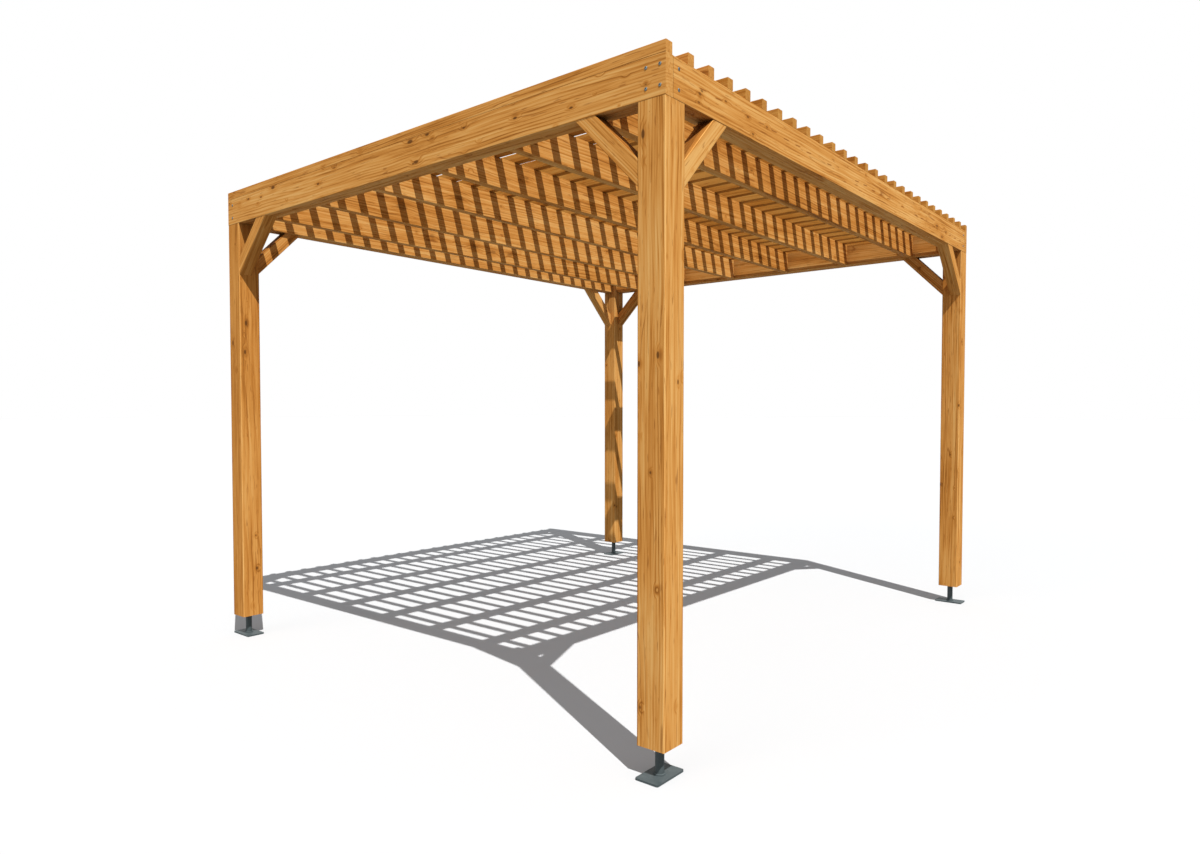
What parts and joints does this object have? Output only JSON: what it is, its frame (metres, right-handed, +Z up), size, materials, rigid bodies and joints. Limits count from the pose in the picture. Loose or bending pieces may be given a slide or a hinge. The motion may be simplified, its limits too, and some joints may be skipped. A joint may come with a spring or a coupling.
{
  "type": "wooden garden pergola",
  "caption": "Free-standing rectangular timber pergola: square posts on steel feet, doubled beams, knee braces, joists and a roof of close-set square slats that shade a seat or table.",
  "frame": {"origin": "on the ground, in the middle of the plan", "axes": "+Z up, X along the roof slats with +X to the right of the front, Y along the joists with the front at -Y"},
  "size_m": [3.15, 3.67, 2.592],
  "materials": {
    "post_wood": "satin",
    "beam_wood": "satin",
    "joist_wood": "satin",
    "brace_wood": "satin",
    "slat_wood": "satin",
    "foot_steel": "matt"
  },
  "bodies": {
    "root": {"back_inner_beam": "beam_wood", "back_left_cross_brace": "brace_wood", "back_left_foot": "foot_steel", "back_left_post": "post_wood", "back_left_side_brace": "brace_wood", "back_outer_beam": "beam_wood", "back_right_cross_brace": "brace_wood", "back_right_foot": "foot_steel", "back_right_post": "post_wood", "back_right_side_brace": "brace_wood", "front_inner_beam": "beam_wood", "front_left_cross_brace": "brace_wood", "front_left_foot": "foot_steel", "front_left_post": "post_wood", "front_left_side_brace": "brace_wood", "front_outer_beam": "beam_wood", "front_right_cross_brace": "brace_wood", "front_right_foot": "foot_steel", "front_right_post": "post_wood", "front_right_side_brace": "brace_wood", "joist_1": "joist_wood", "joist_2": "joist_wood", "joist_3": "joist_wood", "joist_4": "joist_wood", "joist_5": "joist_wood", "joist_6": "joist_wood", "left_inner_beam": "beam_wood", "left_outer_beam": "beam_wood", "right_inner_beam": "beam_wood", "right_outer_beam": "beam_wood", "slats_1": "slat_wood", "slats_2": "slat_wood", "slats_3": "slat_wood", "slats_4": "slat_wood", "slats_5": "slat_wood", "slats_6": "slat_wood", "slats_7": "slat_wood", "slats_8": "slat_wood", "slats_9": "slat_wood"}
  },
  "joints": []
}
